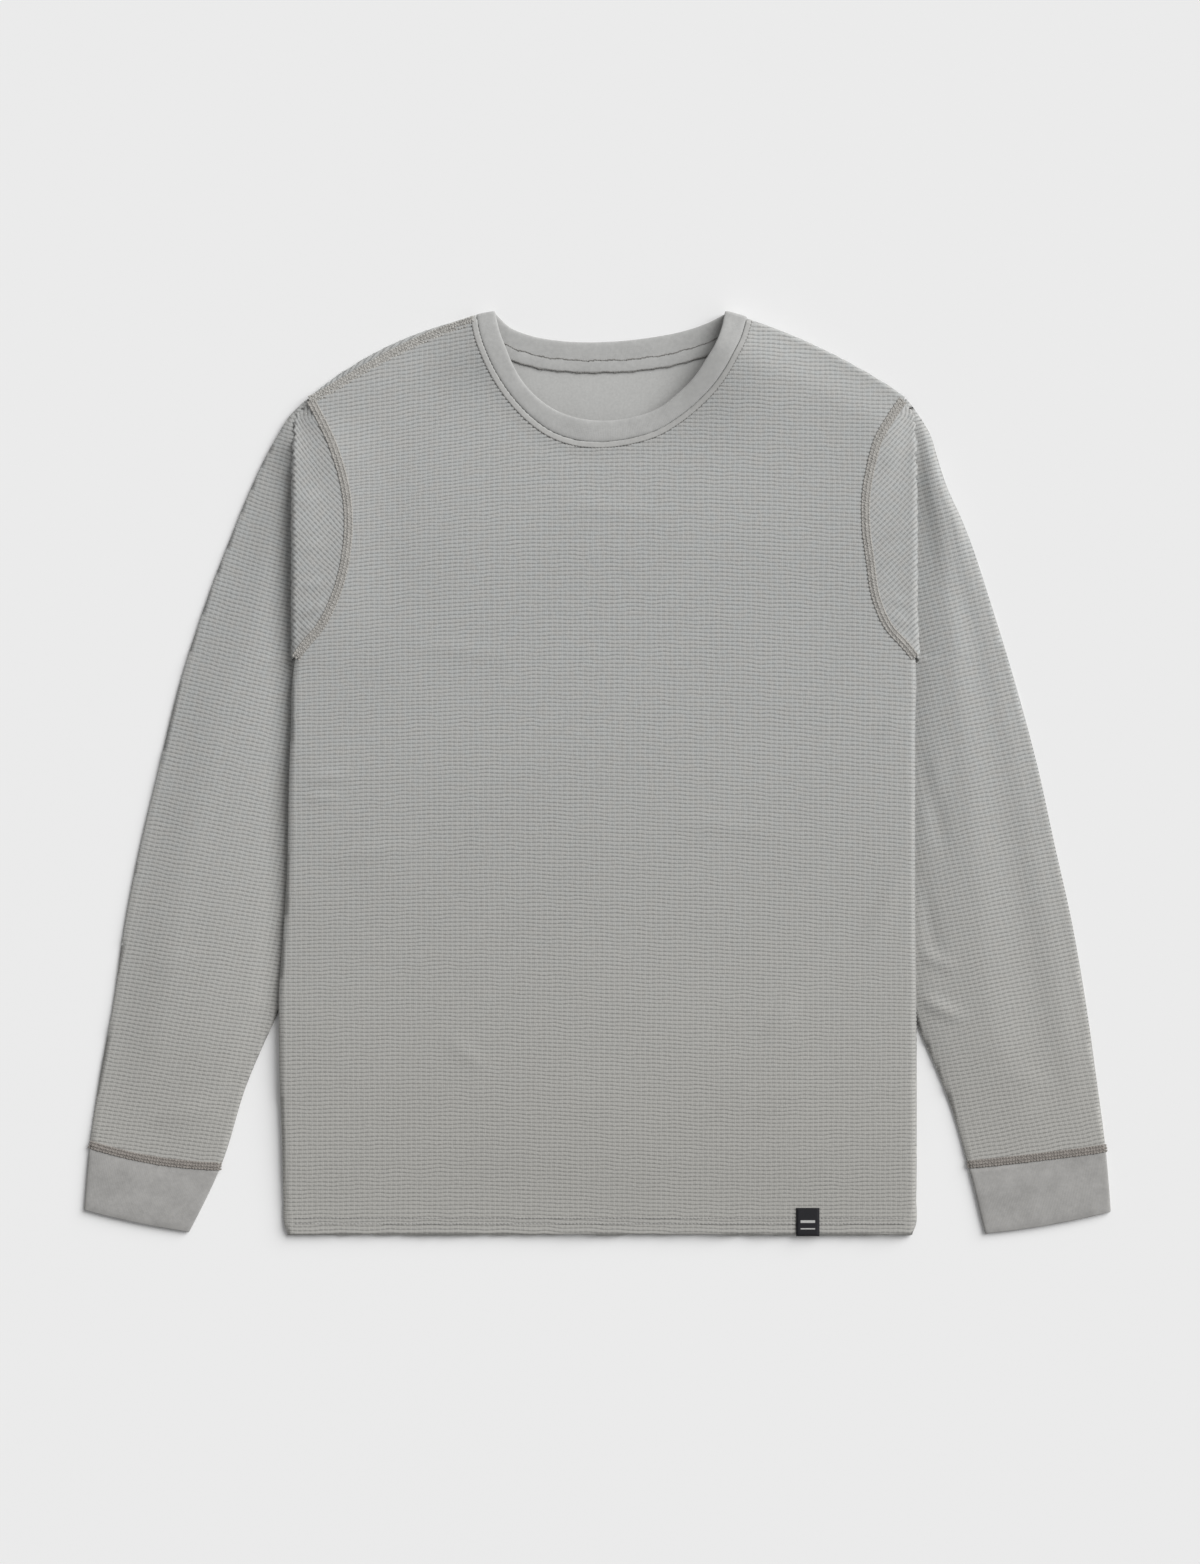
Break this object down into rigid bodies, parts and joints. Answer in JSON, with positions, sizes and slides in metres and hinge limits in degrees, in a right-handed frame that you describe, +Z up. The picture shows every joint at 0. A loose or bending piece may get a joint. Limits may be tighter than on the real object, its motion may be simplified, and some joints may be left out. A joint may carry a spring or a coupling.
{
  "type": "long-sleeved thermal top laid flat",
  "caption": "Long-sleeved crew-neck thermal top in waffle knit, laid flat with its sleeves folded down beside the body.",
  "frame": {"origin": "bottom centre of the bounding box, on the surface that the top lies on", "axes": "+X across the garment towards its right as seen from the front, +Y from the hem to the neck, +Z up from the surface"},
  "size_m": [0.8225, 0.7389, 0.0123],
  "materials": {
    "waffle_knit": "matte light grey waffle knit",
    "smooth_rib": "matte light grey fine rib",
    "woven_label": "black woven tape"
  },
  "bodies": {
    "root": {"front_panel": "waffle_knit", "back_panel": "waffle_knit", "sleeve_left": "waffle_knit", "sleeve_right": "waffle_knit", "cuff_left": "smooth_rib", "cuff_right": "smooth_rib", "neckband": "smooth_rib", "neck_tape": "smooth_rib", "hem_label": "woven_label"}
  },
  "joints": []
}
